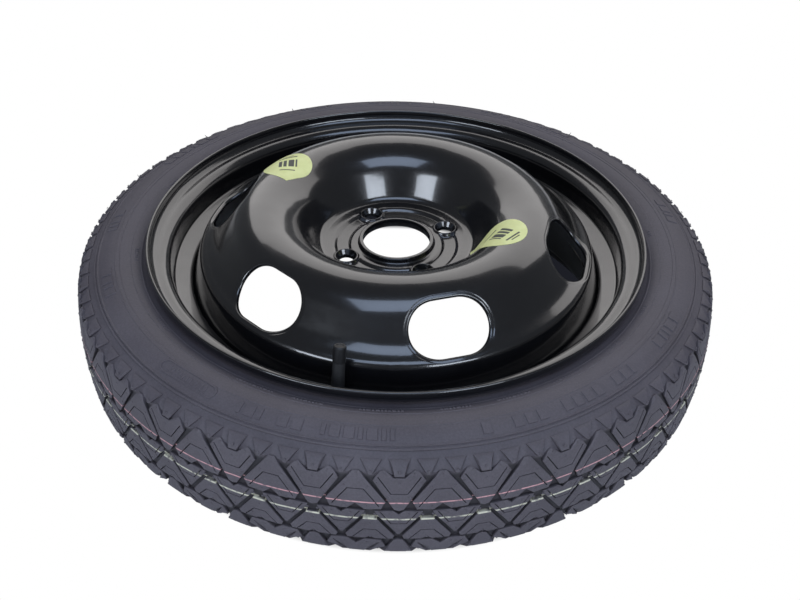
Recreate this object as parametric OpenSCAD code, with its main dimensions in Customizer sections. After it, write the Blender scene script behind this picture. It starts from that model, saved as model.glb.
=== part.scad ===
// Space saver spare wheel, lying on its inboard side with the outboard face up.
// Origin: centre of the bore on the hub mounting face. +Z points outboard, the valve is on -Y.

/* [Tyre] */
// Height of the inflated tyre's section above the bead seat
section_h = 80.7; // [74:0.1:88]
// Widest section of the tyre
tyre_w = 115; // [108:1:120]
// Round of the sidewall, as a share of the section height
sidewall_round = 0.446; // [0.4:0.002:0.49]
// Depth of the widest section below the tread, as a share of the section height
widest_at = 0.52; // [0.48:0.01:0.56]
// Rubber and belts under the tread
tread_t = 10.5; // [9:0.5:13]
// Rubber at the sidewall
sidewall_t = 6.5; // [5:0.5:8]
// Depth of the tread grooves
groove_d = 3; // [2:0.25:4]
// Width of the two grooves that run round beside the middle rib
groove_w = 1.6; // [1.2:0.1:2.4]
// Pairs of blocks round each shoulder
pitches = 28; // [21:1:32]
// Pairs of blocks round the middle rib
rib_pitches = 42; // [32:1:48]

/* [Rim] */
// Bead seat diameter
seat_d = 405.6; // [400:0.2:410]
// Width between the flanges
rim_w = 101.6; // [96:0.1:106]
// Sheet thickness of the rim
rim_t = 2.6; // [2.4:0.1:3.2]
// Flange height above the bead seat
flange_h = 17.3; // [15:0.1:19]
// Reach of the rolled lip beyond the flange
lip_reach = 13.4; // [11:0.1:15]
// Depth of the well below the bead seat
well_drop = 17.8; // [16:0.1:20]
// Width of each bead seat
seat_w = 22.3; // [20:0.1:24]
// Slope of the ledge that carries the valve
ledge_slope = 14; // [8:1:18]

/* [Disc] */
// Distance from the tyre's mid plane out to the hub mounting face
wheel_offset = 42; // [38:1:44]
// Sheet thickness of the disc
disc_t = 4; // [3.5:0.1:4.5]
// Radius of the crown ridge, as a share of the skirt's radius
crown_at = 0.63; // [0.61:0.005:0.65]
// Height of the crown above the mounting face
crown_h = 48.5; // [44:0.5:52]
// Round of the crown, as a share of the distance from the bowl's foot to the crown ridge
crown_round = 0.82; // [0.7:0.01:0.85]
// Distance from the bolt circle out to the bowl's foot
bowl_reach = 18.8; // [17:0.1:22]
// Distance from the skirt in to the corner where the outer slope ends
corner_in = 8.4; // [7:0.1:10]
// Height of that corner above the mounting face
corner_h = 9.5; // [6:0.5:14]
// Number of vent holes
vents = 6; // [4:1:8]
// Length of a vent round the wheel, as a share of the skirt's radius
vent_length = 0.365; // [0.3:0.005:0.38]
// Width of a vent down the slope, as a share of the skirt's radius
vent_width = 0.258; // [0.2:0.002:0.262]
// Radius of the vents' centres, as a share of the skirt's radius
vent_at = 0.836; // [0.825:0.001:0.845]

/* [Hub] */
// Centre bore diameter
bore_d = 60.1; // [56:0.1:62]
// Collar round the bore, wall thickness
collar_t = 3.3; // [2.8:0.1:4]
// Collar height above the mounting face
collar_h = 10.9; // [9:0.1:14]
// Bolt circle diameter
bolt_circle = 100; // [96:0.5:104]
// Number of bolt holes
bolts = 4; // [3:1:5]
// Bolt hole diameter
bolt_d = 13.5; // [12:0.1:15]
// Wide end of the conical bolt seat
bolt_seat_d = 19; // [17:0.1:20]
// Height of the seats above the mounting face
bolt_seat_h = 7.6; // [6.6:0.1:9]
// Angle from the +X axis to the first bolt hole
bolt_angle = 41.4; // [0:0.1:90]

/* [Valve] */
// Length of the valve above the rim, without its cap
valve_l = 42.5; // [36:0.5:46]
// Diameter of the hole in the rim
valve_hole_d = 11.5; // [11:0.1:12]
// Diameter of the rubber sleeve at its top
sleeve_d = 9.6; // [9.2:0.1:10.4]
// Diameter of the brass stem
stem_d = 7.7; // [7:0.1:8]
// Outside diameter of the cap
cap_d = 10.4; // [9.8:0.1:11]
// Length of the cap
cap_l = 13.6; // [12:0.1:15]
// Travel of the core pin when it is pressed
pin_travel = 1.2; // [0.8:0.1:1.5]

/* [Fits] */
// Gap between the tyre's beads and the rim
bead_gap = 0.05; // [0.02:0.01:0.1]
// Gap between the disc's skirt and the rim's well
skirt_gap = 0.05; // [0.02:0.01:0.1]
// Gap round the stem inside its cap
cap_gap = 0.3; // [0.3:0.05:0.5]
// Gap round the core's moving parts
core_gap = 0.3; // [0.25:0.05:0.4]
// Diameter of the paper labels
label_d = 45; // [40:1:50]
// Height of the paper labels above the paint
label_t = 0.3; // [0.2:0.05:0.5]
// Gap under the paper labels
label_gap = 0.1; // [0.05:0.01:0.15]

/* [Hidden] */
seat_r = seat_d / 2;
tyre_r = seat_r + section_h;
well_r = seat_r - well_drop;
mid = -wheel_offset;

// Sheet outlines
// A sheet's path is a list of corners [r, z, bend radius], and each skin lies at a distance beside it

function unit(v) = v / norm(v);
function left(v) = [-v[1], v[0]];
function flat(lists) = [for (l = lists) for (p = l) p];
function flip(list) = [for (i = [len(list) - 1:-1:0]) list[i]];
function rest(list) = [for (i = [1:len(list) - 1]) list[i]];
function mirrored(path) = [for (i = [len(path) - 1:-1:0]) [path[i][0], -path[i][1], path[i][2]]];
function xy(p) = [p[0], p[1]];
function cross2(u, v) = u[0] * v[1] - u[1] * v[0];

// Turn between two points of a round
bend_step = 10;

// The points of one rounded corner b between a and c, at distance d to the left
function corner(a, b, c, d) =
    let (u = unit(xy(b) - xy(a)), v = unit(xy(c) - xy(b)))
    let (side = cross2(u, v) > 0 ? 1 : -1)
    let (turn = acos(max(-1, min(1, u * v))))
    let (centre = xy(b) - u * b[2] * tan(turn / 2) + left(u) * side * b[2])
    let (start = atan2(-side * left(u)[1], -side * left(u)[0]))
    let (rad = b[2] - side * d)
    let (steps = max(2, ceil(turn / bend_step)))
    [for (i = [0:steps]) let (ang = start + side * turn * i / steps) centre + rad * [cos(ang), sin(ang)]];

// One skin of a sheet, at distance d to the left of its path
function skin(path, d) =
    let (n = len(path) - 1)
    let (u = unit(xy(path[1]) - xy(path[0])), w = unit(xy(path[n]) - xy(path[n - 1])))
    concat([xy(path[0]) + d * left(u)],
           flat([for (i = [1:n - 1]) corner(path[i - 1], path[i], path[i + 1], d)]),
           [xy(path[n]) + d * left(w)]);

// The closed section of a sheet between two distances from its path
function sheet(path, d0, d1) = concat(skin(path, d0), flip(skin(path, d1)));

function arc(centre, rad, from, to, steps) =
    [for (i = [0:steps]) let (ang = from + (to - from) * i / steps) centre + rad * [cos(ang), sin(ang)]];

module turned(points) {
    rotate_extrude($fn = 144)
        polygon(points);
}

// Rim
flange_bend = 9.5;
heel_bend = 6.5;
ledge_bend = 5;
well_bend = 2;
seat_taper = 5;
seat_in = rim_w / 2 - seat_w;
seat_in_r = seat_r - seat_w * tan(seat_taper);
well_z = seat_in - (seat_in_r - well_r) * tan(ledge_slope);
rim_half = [
    [seat_r + flange_h, rim_w / 2 + lip_reach, 0],
    [seat_r + flange_h, rim_w / 2, flange_bend],
    [seat_r, rim_w / 2, heel_bend],
    [seat_in_r, seat_in, ledge_bend],
    [well_r, well_z, well_bend]
];
rim_path = concat(rim_half, mirrored(rim_half));

// Disc
skirt_r = well_r - rim_t - skirt_gap;
bolt_r = bolt_circle / 2;
collar_r = bore_d / 2 + collar_t;
shelf_h = 6.5;
ridge_h = 6;
ring_bend = 1.5;
rise_bend = disc_t + 0.5;
skirt_foot = 6;
skirt_land = 22;
crown_r = crown_at * skirt_r;
bowl_foot = [bolt_r + bowl_reach, shelf_h];
slope_foot = [0.842 * skirt_r, 17];
crown_bend = crown_round * (crown_r - bowl_foot[0]);
crown_c = [crown_r, crown_h - crown_bend];

// Angle at the crown's centre, from the top round to where a line from p touches the crown's round
function touch(p) =
    let (v = [abs(p[0] - crown_r), p[1] - crown_c[1]])
    90 - atan2(v[1], v[0]) - acos(crown_bend / norm(v));

wall_turn = touch(bowl_foot);
slope_turn = touch(slope_foot);
apex = crown_c + crown_bend / cos((wall_turn + slope_turn) / 2)
    * [sin((slope_turn - wall_turn) / 2), cos((slope_turn - wall_turn) / 2)];
disc_path = [
    [collar_r + 0.6, ridge_h, 0],
    [bolt_r - 9, ridge_h, rise_bend],
    [bolt_r - 7, disc_t, ring_bend],
    [bolt_r + 3, disc_t, ring_bend],
    [bolt_r + 6, shelf_h, rise_bend],
    [bowl_foot[0], bowl_foot[1], 8],
    [apex[0], apex[1], crown_bend],
    [slope_foot[0], slope_foot[1], 50],
    [skirt_r - corner_in, corner_h, 8.5],
    [skirt_r, mid + skirt_land, 6],
    [skirt_r, mid + skirt_foot, 0]
];

// Vents
vent_lean = 40;
vent_z = 26.5;
vent_l = vent_length * skirt_r;
vent_w = vent_width * skirt_r;
vent_r = vent_at * skirt_r;

// Valve
ledge_c = ([seat_in_r, seat_in] + [well_r, well_z]) / 2;
ledge_n = [-sin(ledge_slope), cos(ledge_slope)];
valve_foot = ledge_c + ledge_n * rim_t;

tyre_colour = [0.13, 0.13, 0.14];
paint = [0.05, 0.05, 0.06];
brass = [0.78, 0.62, 0.3];
label_colour = [0.93, 0.92, 0.62];

// Tyre: one moulded ring with two beads, a hollow inside and a cut tread
crown_arc = 240;
crown_half = 38;
shoulder_bend = 11;
bead_w = 18;
bead_clear = 11.2;
side_low = 19.6;
shoulder_end = 65;

rib_top = 7.2;
rib_mid = -8.85;
rib_low = 2 * rib_mid - rib_top;
pitch = 2 * PI * tyre_r / pitches;
rib_pitch = 2 * PI * tyre_r / rib_pitches;
first_block = -75.7;

// Point at a depth under the crown, at a height from the mid plane
function crown(z, depth = 0) = [tyre_r - crown_arc + sqrt(pow(crown_arc, 2) - pow(z, 2)) - depth, z];

function round_groove(z) =
    let (low = z - groove_w / 2, high = z + groove_w / 2)
    [crown(low), crown(low, groove_d), crown(high, groove_d), crown(high)];

module tyre_section() {
    crown_a = asin(crown_half / crown_arc);
    shoulder_c = crown(crown_half) - shoulder_bend * [cos(crown_a), sin(crown_a)];
    sidewall_r = sidewall_round * section_h;
    side_c = [tyre_r - widest_at * section_h, tyre_w / 2 - sidewall_r];
    side_end = acos((seat_r + side_low - side_c[0]) / sidewall_r);
    heel = [[seat_r + bead_clear + 2, rim_w / 2 - bead_gap, 0],
            [seat_r + bead_gap, rim_w / 2 - bead_gap, heel_bend],
            [seat_r + bead_gap - bead_w * tan(seat_taper), rim_w / 2 - bead_w, 0]];
    toe = [seat_r + 3, rim_w / 2 - bead_w - 2];
    side = concat(arc(shoulder_c, shoulder_bend, crown_a, shoulder_end, 5),
                  arc(side_c, sidewall_r, shoulder_end, side_end, 9),
                  skin(heel, 0),
                  [toe, toe + [6, 2]],
                  arc(side_c, sidewall_r - sidewall_t, side_end - 6, shoulder_end - 5, 7),
                  arc(shoulder_c - [tread_t - 4, 3], shoulder_bend - 3, 50, 12, 3),
                  arc([tyre_r - crown_arc, 0], crown_arc - tread_t, crown_a * 0.7, 0, 3));
    tread = concat([crown(rib_low - 7)], round_groove(rib_low), [crown(rib_mid - 3), crown(0)],
                   round_groove(rib_top), [crown(rib_top + 15)]);
    polygon(concat(tread, side, [for (i = [len(side) - 2:-1:0]) [side[i][0], -side[i][1]]]));
}

// Cuts an outline (round the tread, across it) into the crown, square to it at the given height
module tread_cut(ang, level, outline) {
    rotate([0, 0, ang])
        translate([crown(level)[0], 0, mid + level])
            rotate([0, -asin(level / crown_arc), 0])
                rotate([90, 0, 90])
                    translate([0, -level, -groove_d])
                        linear_extrude(height = groove_d + 6)
                            polygon(outline);
}

// Outlines of the cuts between blocks, with lengths round the tread as shares of the pitch
rib_cut = [[0.083, rib_top], [0.12, 2.9], [0.458, -16.5], [0.415, -19.8], [0.099, -0.8]];
high_cut = [[0.05, rib_top], [0.203, rib_top], [0.154, 15.8], [0.402, 37.8], [0.355, 41], [0.303, 35.5],
            [0.12, 15.9]];
low_cut = [[0.05, rib_top], [0.203, rib_top], [0.154, 15.8], [0.3, 28.8], [0.24, 28.8], [0.12, 15.9]];

module tread_cuts() {
    for (i = [0:rib_pitches - 1])
        tread_cut(first_block + (i + 0.5) * 360 / rib_pitches, rib_mid + 4,
                  concat([for (p = rib_cut) [p[0] * rib_pitch, p[1]]],
                         [for (p = flip(rib_cut)) [-p[0] * rib_pitch, p[1]]]));
    for (i = [0:pitches - 1], side = [-1, 1]) {
        tread_cut(first_block + i * 360 / pitches, 26,
                  [for (p = high_cut) [side * p[0] * pitch, p[1]]]);
        tread_cut(first_block + i * 360 / pitches, -35,
                  [for (p = low_cut) [side * p[0] * pitch, 2 * rib_mid - p[1]]]);
    }
}

module tyre() {
    color(tyre_colour)
        difference() {
            translate([0, 0, mid])
                rotate_extrude($fn = 144)
                    tyre_section();
            tread_cuts();
        }
}

// Rim: one rolled band of sheet with a drop centre
module rim() {
    color(paint)
        difference() {
            translate([0, 0, mid])
                turned(sheet(rim_path, 0, -rim_t));
            valve_axis()
                cylinder(d = valve_hole_d, h = 4 * rim_t, center = true, $fn = 48);
        }
}

// Puts a thing on the valve's axis, with its foot on the rim's ledge
module valve_axis() {
    rotate([0, 0, -90])
        translate([valve_foot[0], 0, mid + valve_foot[1]])
            rotate([0, -ledge_slope, 0])
                children();
}

// Disc: one pressing with bowl, crown, vents, bolt seats and bore collar
module vent_cut() {
    straight = vent_l - vent_w;
    translate([vent_r, 0, vent_z])
        rotate([0, vent_lean, 0])
            linear_extrude(height = 30, center = true)
                union() {
                    square([vent_w, straight], center = true);
                    for (s = [-1, 1])
                        translate([0, s * straight / 2])
                            circle(d = vent_w, $fn = 64);
                }
}

module at_bolts() {
    for (i = [0:bolts - 1])
        rotate([0, 0, bolt_angle + i * 360 / bolts])
            translate([bolt_r, 0, 0])
                children();
}

module disc() {
    bore_r = bore_d / 2;
    edge = 0.7;
    root = 3;
    seat_land = (bolt_seat_d - bolt_d) / 2 * tan(60);
    section = concat(arc([bore_r + root, ridge_h - disc_t + root], root, 270, 180, 5),
                     [[bore_r, collar_h - edge], [bore_r + edge, collar_h],
                      [collar_r - edge, collar_h], [collar_r, collar_h - edge]],
                     arc([collar_r + 2, ridge_h + 2], 2, 180, 270, 4),
                     rest(skin(disc_path, 0)),
                     flip(rest(skin(disc_path, -disc_t))));
    color(paint)
        difference() {
            union() {
                turned(section);
                at_bolts()
                    translate([0, 0, 1])
                        cylinder(h = bolt_seat_h - 1, d1 = bolt_seat_d + 9, d2 = bolt_seat_d + 1.4, $fn = 48);
            }
            at_bolts() {
                translate([0, 0, -2])
                    cylinder(h = 20, d = bolt_d, $fn = 48);
                translate([0, 0, bolt_seat_h - seat_land])
                    cylinder(h = seat_land + 0.01, d1 = bolt_d, d2 = bolt_seat_d, $fn = 48);
            }
            for (i = [0:vents - 1])
                rotate([0, 0, i * 360 / vents])
                    vent_cut();
        }
}

// Welds that join the end of the disc's skirt to the rim's well
weld_count = 8;
weld_span = 24;
weld_leg = 4.5;

module weld_beads() {
    wall = well_r - rim_t;
    foot = mid + skirt_foot;
    color([0.12, 0.12, 0.13])
        for (i = [0:weld_count - 1])
            rotate([0, 0, (i + 0.5) * 360 / weld_count - weld_span / 2])
                rotate_extrude(angle = weld_span, $fn = 144)
                    polygon(concat([[wall - 0.02, foot - 0.02]],
                                   arc([wall - weld_leg, foot - weld_leg], weld_leg - 0.02, 0, 90, 4)));
}

// Valve: rubber body, brass stem, core and cap
sleeve_top = valve_l - 10.9;
stem_bore_d = 5.2;
stem_low = -10;
core_d = stem_bore_d - 0.1;
core_low = 27;
core_top = valve_l - 1.5;
core_bore_d = 3.2;
pin_d = core_bore_d - 2 * core_gap - 1.2;
washer_t = 1.6;
plug_d = 4;
pin_low = core_low - washer_t - 3;
pin_top = valve_l - 0.4;
pin_head_d = pin_d + 1.1;
pin_head_l = 2;
spring_low = core_low + 3;
spring_wire = 0.4;

module valve_body() {
    neck = valve_hole_d / 2 - 0.05;
    foot = -rim_t - 0.05;
    color(tyre_colour)
        valve_axis()
            turned([[stem_d / 2 + 0.02, -9], [5.6, -9], [6.4, -7.5], [6.6, foot], [neck, foot], [neck, 0.05],
                    [5.9, 0.05], [5.8, 2.4], [5.4, 8], [sleeve_d / 2, sleeve_top - 0.6],
                    [sleeve_d / 2 - 0.6, sleeve_top], [stem_d / 2 + 0.02, sleeve_top]]);
}

module valve_stem() {
    bore = stem_bore_d / 2;
    outer = stem_d / 2;
    color(brass)
        valve_axis()
            turned([[bore, stem_low], [outer, stem_low], [outer, valve_l - 0.5], [outer - 0.5, valve_l],
                    [bore, valve_l]]);
}

module valve_core() {
    bore = core_bore_d / 2;
    outer = core_d / 2;
    color(brass)
        valve_axis()
            turned([[pin_d / 2 + core_gap, core_low], [outer - 0.5, core_low], [outer, core_low + 1],
                    [outer, core_top], [bore, core_top], [bore, spring_low],
                    [pin_d / 2 + core_gap, spring_low]]);
}

module core_pin() {
    color([0.75, 0.76, 0.78])
        valve_axis()
            turned([[0, pin_low], [plug_d / 2, pin_low], [plug_d / 2, core_low - washer_t],
                    [pin_d / 2, core_low - washer_t], [pin_d / 2, pin_top - pin_head_l],
                    [pin_head_d / 2, pin_top - pin_head_l], [pin_head_d / 2, pin_top], [0, pin_top]]);
}

module valve_cap() {
    outer = cap_d / 2;
    bore = stem_d / 2 + cap_gap;
    low = sleeve_top + cap_gap;
    top = low + cap_l;
    color(tyre_colour)
        valve_axis()
            turned([[bore, low], [outer - 0.3, low], [outer, low + 0.4], [outer, top - 0.9],
                    [outer - 0.9, top], [3, top], [2.8, top - 0.5], [0, top - 0.5], [0, valve_l + 1.2],
                    [bore, valve_l + 1.2]]);
}

module cap_seal() {
    bore = stem_d / 2 + cap_gap - 0.05;
    color([0.2, 0.2, 0.2])
        valve_axis()
            turned([[1.6, valve_l + 0.3], [bore, valve_l + 0.3], [bore, valve_l + 1.2], [1.6, valve_l + 1.2]]);
}

module core_washer() {
    color([0.25, 0.1, 0.1])
        valve_axis()
            turned([[pin_d / 2 + 0.02, core_low - washer_t + 0.02], [plug_d / 2, core_low - washer_t + 0.02],
                    [plug_d / 2, core_low - 0.02], [pin_d / 2 + 0.02, core_low - 0.02]]);
}

// Half turns that lean to one side and the other, so that the end of each one meets the next
module core_spring() {
    rad = (pin_d + core_bore_d) / 4;
    turns = 5;
    rise = (pin_top - pin_head_l - spring_low - spring_wire) / (2 * turns);
    tilt = asin(rise / 2 / rad);
    color([0.75, 0.76, 0.78])
        valve_axis()
            union()
                for (i = [0:2 * turns - 1])
                    translate([0, 0, spring_low + spring_wire / 2 + (i + 0.5) * rise])
                        rotate([0, i % 2 == 0 ? tilt : -tilt, 0])
                            rotate([0, 0, 180 * i])
                                rotate_extrude(angle = 180, $fn = 36)
                                    translate([rad, 0])
                                        circle(d = spring_wire, $fn = 16);
}

// Labels: paper drops that lie on the crown, each a round with one pointed corner
module drop_outline(size, point) {
    touch = acos(size / 2 / point);
    polygon(concat(arc([0, 0], size / 2, touch, 360 - touch, 40), [[point, 0]]));
}

module label(ang, rad, size, point, turn) {
    intersection() {
        turned(sheet(disc_path, label_gap, label_t));
        rotate([0, 0, ang])
            translate([rad, 0, shelf_h])
                rotate([0, 0, turn])
                    linear_extrude(height = crown_h)
                        drop_outline(size, point);
    }
}

module label_front() {
    color(label_colour)
        label(161.6, crown_r + 4, label_d, 0.62 * label_d, 124.4);
}

module label_side() {
    color(label_colour)
        label(-11, crown_r - 18, label_d, 0.73 * label_d, 159);
}

tyre();
rim();
disc();
weld_beads();
valve_body();
valve_stem();
valve_core();
core_pin();
core_spring();
core_washer();
valve_cap();
cap_seal();
label_front();
label_side();
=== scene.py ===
# Space saver spare wheel on white, seen from above its rim.
# Shapes are worked out in mm and degrees; meshes, materials, lamps and camera are in metres.
import math

import bpy
import numpy as np
from mathutils import Matrix, Vector
from mathutils.geometry import delaunay_2d_cdt


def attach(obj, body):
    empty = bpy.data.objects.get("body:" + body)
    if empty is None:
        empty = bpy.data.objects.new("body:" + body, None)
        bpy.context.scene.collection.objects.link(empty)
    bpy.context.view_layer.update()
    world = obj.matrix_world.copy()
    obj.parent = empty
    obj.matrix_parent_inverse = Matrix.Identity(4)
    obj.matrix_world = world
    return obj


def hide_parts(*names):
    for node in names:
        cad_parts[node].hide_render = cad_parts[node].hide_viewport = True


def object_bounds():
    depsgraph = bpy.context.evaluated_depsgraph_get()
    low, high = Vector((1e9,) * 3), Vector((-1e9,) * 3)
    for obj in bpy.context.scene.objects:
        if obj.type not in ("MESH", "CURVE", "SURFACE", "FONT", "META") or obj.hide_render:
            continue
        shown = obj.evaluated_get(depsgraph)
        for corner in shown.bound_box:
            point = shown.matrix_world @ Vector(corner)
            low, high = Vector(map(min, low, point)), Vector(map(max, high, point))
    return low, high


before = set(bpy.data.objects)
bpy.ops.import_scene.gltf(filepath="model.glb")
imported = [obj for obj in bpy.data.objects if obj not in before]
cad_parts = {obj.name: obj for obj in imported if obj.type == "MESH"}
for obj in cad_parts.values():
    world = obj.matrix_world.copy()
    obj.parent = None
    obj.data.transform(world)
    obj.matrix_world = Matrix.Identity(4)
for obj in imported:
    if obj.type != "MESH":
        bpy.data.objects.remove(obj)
size_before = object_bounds()

MM = 0.001

# Sizes shared with the CAD source; heights count from the hub face
MID = -42
TYRE_R = 283.5
TYRE_W = 115
TREAD_ARC = 240
TREAD_HALF = 38
SHOULDER_BEND = 11
RIM_T = 2.6
RIM_W = 101.6
SEAT_R = 202.8
SEAT_W = 22.3
SEAT_TAPER = 5
FLANGE_H = 17.3
FLANGE_W = 13.4
WELL_R = 185
WELL_LEAN = 14
DISC_T = 4
BORE_R = 30.05
COLLAR_R = BORE_R + 3.3
COLLAR_H = 10.9
RIDGE_H = 6
SHELF_H = 6.5
SHELF_W = 18.8
CROWN_R = 115
CROWN_H = 48.5
CROWN_BEND = 38
SLOPE_FOOT = (162, 14.5, 30)
CORNER = (173.9, 9.5, 8.5)
SKIRT_R = WELL_R - RIM_T - 0.05
SKIRT_TOP = MID + 22
SKIRT_END = MID + 6
VENTS = 6
VENT_L = 66.5
VENT_W = 47
VENT_R = 152.5
VENT_Z = 26.5
VENT_LEAN = 40
BOLTS = 4
BOLT_ANGLE = 41.4
BOLT_CIRCLE_R = 50
BOLT_R = 6.75
BOLT_SEAT_H = 7.6
LABEL_D = 45


def sind(a):
    return math.sin(math.radians(a))


def cosd(a):
    return math.cos(math.radians(a))


def tand(a):
    return math.tan(math.radians(a))


# Curves in the plane of radius and height

def unit(v):
    return v / np.hypot(v[0], v[1])


def left(v):
    return np.array([-v[1], v[0]])


def path_curve(corners, fine=1.5, step=1.0):
    """Points and left normals along a path of corners (r, z, bend radius)."""
    at = [np.array(c[:2], float) for c in corners]
    points, normals = [at[0]], [left(unit(at[1] - at[0]))]

    def straight_to(end):
        start = points[-1]
        for t in np.linspace(0, 1, max(2, int(np.hypot(*(end - start)) / step) + 1))[1:-1]:
            points.append(start + t * (end - start))
            normals.append(normals[-1])

    for i in range(1, len(at) - 1):
        u, v = unit(at[i] - at[i - 1]), unit(at[i + 1] - at[i])
        side = 1 if u[0] * v[1] - u[1] * v[0] > 0 else -1
        turn = math.acos(max(-1, min(1, u @ v)))
        bend = corners[i][2]
        centre = at[i] - u * bend * math.tan(turn / 2) + left(u) * side * bend
        begin = math.atan2(*(-side * left(u))[::-1])
        steps = max(2, math.ceil(math.degrees(turn) / fine))
        for k in range(steps + 1):
            a = begin + side * turn * k / steps
            d = np.array([math.cos(a), math.sin(a)])
            if k == 0:
                straight_to(centre + bend * d)
            points.append(centre + bend * d)
            normals.append(-side * d)
    straight_to(at[-1])
    points.append(at[-1])
    normals.append(left(unit(at[-1] - at[-2])))
    return np.array(points), np.array(normals)


def thin_out(points, normals, step, bend_step):
    """The same curve with points spaced by length and by turn."""
    d = np.hypot(*np.diff(points, axis=0).T)
    cosines = np.clip((normals[1:] * normals[:-1]).sum(1), -1, 1)
    weight = np.concatenate([[0], np.cumsum(d / step + np.degrees(np.arccos(cosines)) / bend_step)])
    want = np.linspace(0, weight[-1], int(math.ceil(weight[-1])) + 1)
    p = np.stack([np.interp(want, weight, points[:, k]) for k in (0, 1)], 1)
    n = np.stack([np.interp(want, weight, normals[:, k]) for k in (0, 1)], 1)
    return p, n / np.hypot(n[:, 0], n[:, 1])[:, None]


def arc(centre, rad, start, end, steps):
    a = np.radians(np.linspace(start, end, steps + 1))
    return np.stack([centre[0] + rad * np.cos(a), centre[1] + rad * np.sin(a)], 1)


# Meshes

class Shape:
    """Collects points and faces, then makes one object of them."""

    def __init__(self):
        self.points = []
        self.faces = []
        self.count = 0

    def add(self, xyz):
        """Adds an array of points and returns their numbers in the same layout."""
        xyz = np.asarray(xyz, float)
        flat = xyz.reshape(-1, 3)
        first = self.count
        self.points.append(flat)
        self.count += len(flat)
        return np.arange(first, self.count).reshape(xyz.shape[:-1])

    def skin(self, low, high, closed=True):
        """Quads between two rows of point numbers."""
        n = len(low)
        for j in range(n if closed else n - 1):
            k = (j + 1) % n
            self.faces.append((low[j], low[k], high[k], high[j]))

    def grid(self, rows, closed=True):
        for low, high in zip(rows[:-1], rows[1:]):
            self.skin(low, high, closed)

    def make(self, name, body, slot, material, sharp, replaces):
        """The object, riding a body, with edges sharp from an angle, for the nodes it replaces."""
        mesh = bpy.data.meshes.new(name)
        points = np.concatenate(self.points) * MM
        mesh.from_pydata(points.tolist(), [], self.faces)
        mesh.validate()
        mesh.shade_smooth()
        mesh.set_sharp_from_angle(angle=math.radians(sharp))
        mesh.materials.append(material)
        obj = bpy.data.objects.new(name, mesh)
        bpy.context.scene.collection.objects.link(obj)
        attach(obj, body)
        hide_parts(*replaces)
        return obj


def ring_points(profile, count):
    """Rows of points, one for each profile point (r, z), round the Z axis."""
    a = np.arange(count) * 2 * math.pi / count
    r, z = profile[:, 0][:, None], profile[:, 1][:, None]
    return np.stack([r * np.cos(a), r * np.sin(a), z + 0 * a], 2)


def lathe(profile, count, shape=None, closed_profile=True):
    """A profile of points (r, z) turned round the Z axis, in a shape of its own or a given one."""
    shape = shape or Shape()
    rows = shape.add(ring_points(np.asarray(profile, float), count))
    shape.grid(rows)
    if closed_profile:
        shape.skin(rows[-1], rows[0])
    return shape


# Materials

class Tree:
    """Adds nodes to a material or world; values are numbers, colours or sockets."""

    def __init__(self, owner):
        owner.use_nodes = True
        self.nodes = owner.node_tree.nodes
        self.link = owner.node_tree.links.new

    def add(self, kind, **inputs):
        """A node with the given inputs, whose names have _ in place of a space."""
        node = self.nodes.new("ShaderNode" + kind)
        for name, value in inputs.items():
            self.put(value, node.inputs[name.replace("_", " ")])
        return node

    def put(self, value, socket):
        if isinstance(value, (int, float)):
            socket.default_value = value
        elif isinstance(value, tuple):
            socket.default_value = (*value, 1)
        else:
            self.link(value, socket)

    def coords(self):
        return self.add("TexCoord").outputs["Object"]

    def noise(self, scale, detail, rough, coords):
        node = self.add("TexNoise", Scale=scale, Detail=detail, Roughness=rough, Vector=coords)
        return node.outputs["Fac"]

    def ramp(self, value, stops):
        """A colour ramp between two stops (place, colour)."""
        node = self.add("ValToRGB", Fac=value)
        for element, (place, colour) in zip(node.color_ramp.elements, stops):
            element.position = place
            element.color = (*colour, 1)
        return node.outputs["Color"]

    def math(self, kind, *values):
        node = self.add("Math")
        node.operation = kind
        for socket, value in zip(node.inputs, values):
            self.put(value, socket)
        return node.outputs[0]

    def mix(self, share, a, b, kind="MIX"):
        node = self.add("Mix")
        node.data_type = "RGBA"
        node.blend_type = kind
        factor, colour_a, colour_b, colour_out = 0, 6, 7, 2
        for place, value in ((factor, share), (colour_a, a), (colour_b, b)):
            self.put(value, node.inputs[place])
        return node.outputs[colour_out]

    def bump(self, height, strength, distance, normal=None):
        node = self.add("Bump", Height=height, Strength=strength, Distance=distance)
        if normal is not None:
            self.link(normal, node.inputs["Normal"])
        return node.outputs["Normal"]

    def map_range(self, value, low, high, to_low=0.0, to_high=1.0):
        node = self.add("MapRange", Value=value, From_Min=low, From_Max=high, To_Min=to_low,
                        To_Max=to_high)
        return node.outputs[0]


def node_material(name):
    material = bpy.data.materials.new(name)
    tree = Tree(material)
    return material, tree, tree.nodes["Principled BSDF"]


def black_paint():
    material, tree, shader = node_material("black paint")
    coords = tree.coords()
    broad = tree.noise(9, 2, 0.5, coords)
    fine = tree.noise(160, 4, 0.7, coords)
    dust = tree.noise(900, 2, 0.5, coords)
    base = tree.ramp(broad, [(0.3, (0.0035, 0.0036, 0.0048)), (0.7, (0.006, 0.006, 0.007))])
    specks = tree.map_range(dust, 0.8, 0.84, 0, 0.4)
    tree.link(tree.mix(specks, base, (0.13, 0.13, 0.14)), shader.inputs["Base Color"])
    tree.link(tree.map_range(fine, 0.25, 0.75, 0.2, 0.27), shader.inputs["Roughness"])
    shader.inputs["Coat Weight"].default_value = 0.8
    shader.inputs["Coat Roughness"].default_value = 0.09
    shader.inputs["Coat IOR"].default_value = 1.6
    peel = tree.bump(tree.noise(240, 1, 0.4, coords), 0.05, 0.0002)
    dents = tree.bump(tree.noise(13, 2, 0.4, coords), 0.5, 0.004, peel)
    tree.link(dents, shader.inputs["Normal"])
    tree.link(dents, shader.inputs["Coat Normal"])
    return material


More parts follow.
